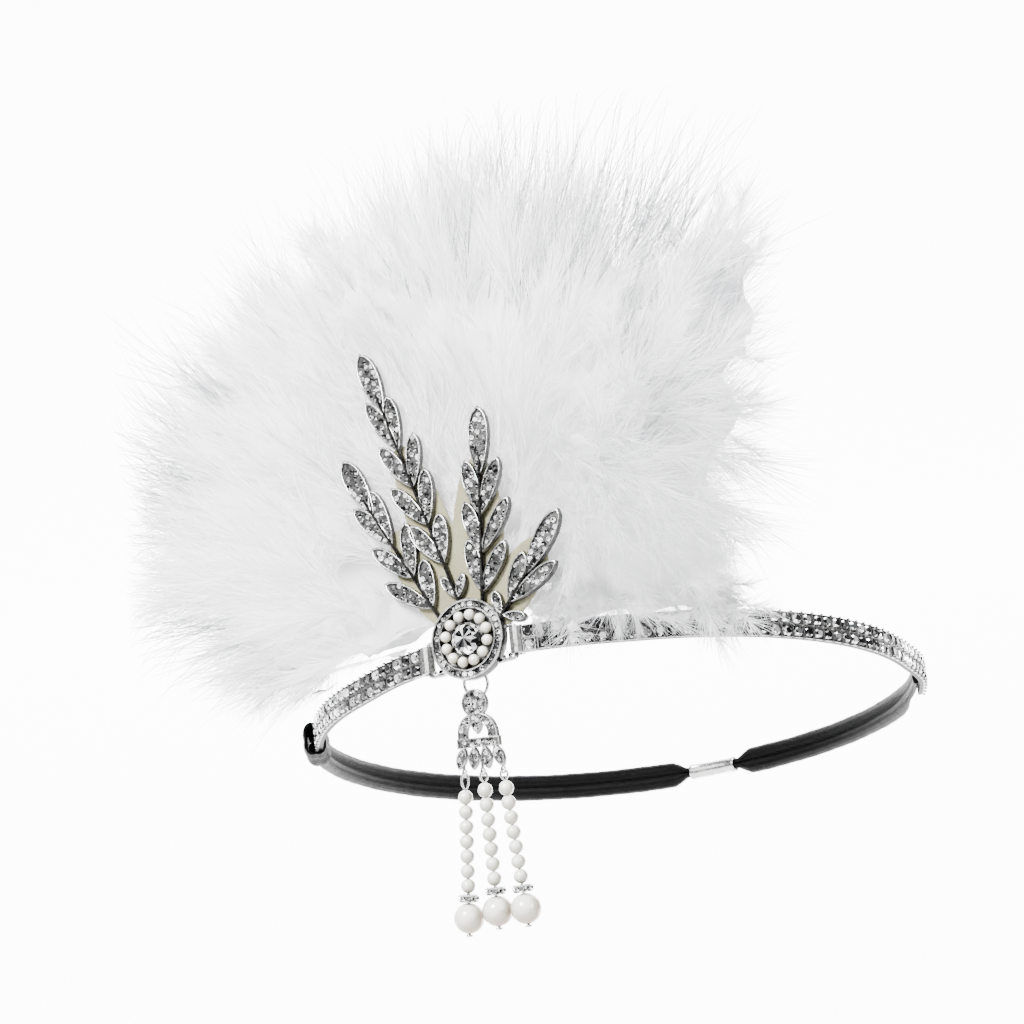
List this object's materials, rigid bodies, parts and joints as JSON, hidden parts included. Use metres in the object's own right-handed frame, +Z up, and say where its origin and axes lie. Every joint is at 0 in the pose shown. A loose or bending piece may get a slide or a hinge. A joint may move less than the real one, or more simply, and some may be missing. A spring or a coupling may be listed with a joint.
{
  "type": "feather headband",
  "caption": "Flapper style headband: rhinestone band with elastic back, leaf brooch with pearl medallion, white marabou plume and swinging pearl drop",
  "frame": {"origin": "centre of the head ring, halfway between the band's top and bottom edges", "axes": "+Z up as worn, -Y to the wearer's front, +X to the picture's right"},
  "size_m": [0.2018, 0.1982, 0.2062],
  "materials": {
    "silver": "antique silver plate with dark recesses",
    "stone_strip": "clear stones in silver cups on a black backing",
    "crystal": "faceted, foil backed",
    "pearl": "pearl lustre",
    "black_cloth": "woven elastic cord, soft sheen",
    "cream_felt": "felt",
    "white_feather": "marabou down"
  },
  "bodies": {
    "headpiece": {"band_left": "stone_strip", "band_right": "stone_strip", "end_wrap_left": "black_cloth", "elastic_left": "black_cloth", "elastic_right": "black_cloth", "crimp_tube": "silver", "brooch_casting": "silver", "centre_crystal": "crystal", "ring_pearl_01": "pearl", "ring_pearl_02": "pearl", "ring_pearl_03": "pearl", "ring_pearl_04": "pearl", "ring_pearl_05": "pearl", "ring_pearl_06": "pearl", "ring_pearl_07": "pearl", "ring_pearl_08": "pearl", "ring_pearl_09": "pearl", "ring_pearl_10": "pearl", "ring_pearl_11": "pearl", "ring_pearl_12": "pearl", "felt_backing": "cream_felt", "marabou_plume": "white_feather"},
    "link": {"drop_link": "silver"},
    "pendant": {"drop_casting": "silver", "pearl_strand_left": "pearl", "rondelle_left": "silver", "end_pearl_left": "pearl", "pearl_strand_middle": "pearl", "rondelle_middle": "silver", "end_pearl_middle": "pearl", "pearl_strand_right": "pearl", "rondelle_right": "silver", "end_pearl_right": "pearl"}
  },
  "joints": [
    {"name": "link_swing", "type": "hinge", "parent": "headpiece", "child": "link", "pos_m": [-0.03488, -0.08376, 0.01451], "axis": [0.8881, -0.4596, 0], "range_deg": [-15, 60]},
    {"name": "pendant_swing", "type": "hinge", "parent": "link", "child": "pendant", "pos_m": [-0.03488, -0.08376, 0.00771], "axis": [0.8881, -0.4596, 0], "range_deg": [-6, 60]}
  ]
}
